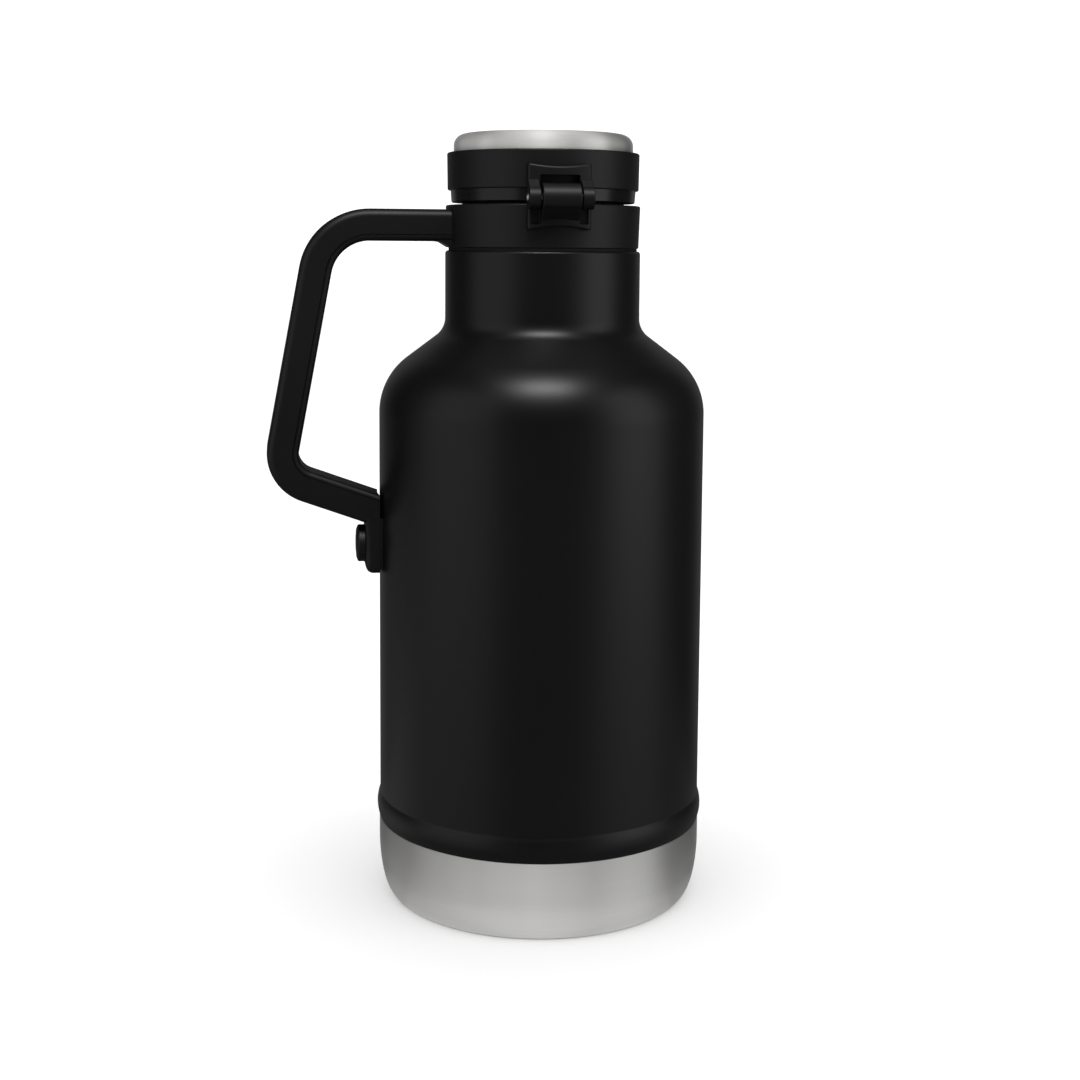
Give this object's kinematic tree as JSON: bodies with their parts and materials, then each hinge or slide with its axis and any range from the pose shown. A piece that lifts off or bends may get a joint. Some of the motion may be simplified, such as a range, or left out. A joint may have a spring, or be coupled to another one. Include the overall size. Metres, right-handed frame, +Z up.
{
  "type": "growler",
  "caption": "Double-walled steel growler with a narrow neck, a side handle and a hinged, latched lid, for carrying and pouring beer.",
  "frame": {"origin": "centre of the base on the body's axis, on the surface it stands on", "axes": "+Z up along the body's axis, the handle points along -X, the lid hinge is on the -Y side and the latch on the +Y side"},
  "size_m": [0.1706, 0.1286, 0.297],
  "materials": {
    "powder_coat": "satin black powder coat",
    "base_steel": "brushed round the axis",
    "inner_steel": "satin",
    "getter_metal": "dull",
    "moulded_black": "fine moulded texture",
    "skirt_black": "semi gloss",
    "cap_steel": "fine satin",
    "seal_rubber": "matt silicone",
    "foam": "rigid foam",
    "fastener_steel": "turned",
    "latch_steel": "satin"
  },
  "bodies": {
    "vessel": {"body_shell": "powder_coat", "base_cup": "base_steel", "jacket_bottom": "inner_steel", "inner_vessel": "inner_steel", "getter": "getter_metal", "vacuum_plug": "getter_metal", "collar_gasket": "seal_rubber", "collar_handle": "moulded_black", "handle_pad": "seal_rubber", "handle_stud": "fastener_steel", "handle_screw": "fastener_steel", "screw_cap": "moulded_black", "latch_pin": "fastener_steel"},
    "lid": {"lid_ring": "moulded_black", "lid_cap": "cap_steel", "lid_skirt": "skirt_black", "lid_liner": "inner_steel", "lid_insulation": "foam", "lid_gasket": "seal_rubber", "lid_screws": "fastener_steel", "lid_catch": "latch_steel", "catch_screws": "fastener_steel", "hinge_pin": "fastener_steel"},
    "latch_lever": {"latch_lever": "latch_steel"},
    "latch_bail": {"latch_bail": "latch_steel"}
  },
  "joints": [
    {"name": "lid_hinge", "type": "hinge", "parent": "vessel", "child": "lid", "pos_m": [0, -0.0415, 0.2718], "axis": [1, 0, 0], "range_deg": [0, 110]},
    {"name": "lever_pivot", "type": "hinge", "parent": "vessel", "child": "latch_lever", "pos_m": [0, 0.043, 0.258], "axis": [1, 0, 0], "range_deg": [-150, 0]},
    {"name": "bail_pivot", "type": "hinge", "parent": "latch_lever", "child": "latch_bail", "pos_m": [0, 0.04657, 0.26218], "axis": [1, 0, 0], "range_deg": [0, 156.4]}
  ],
  "couplings": [
    {"joint": "bail_pivot", "follows": "lever_pivot", "ratio": -1.042}
  ]
}
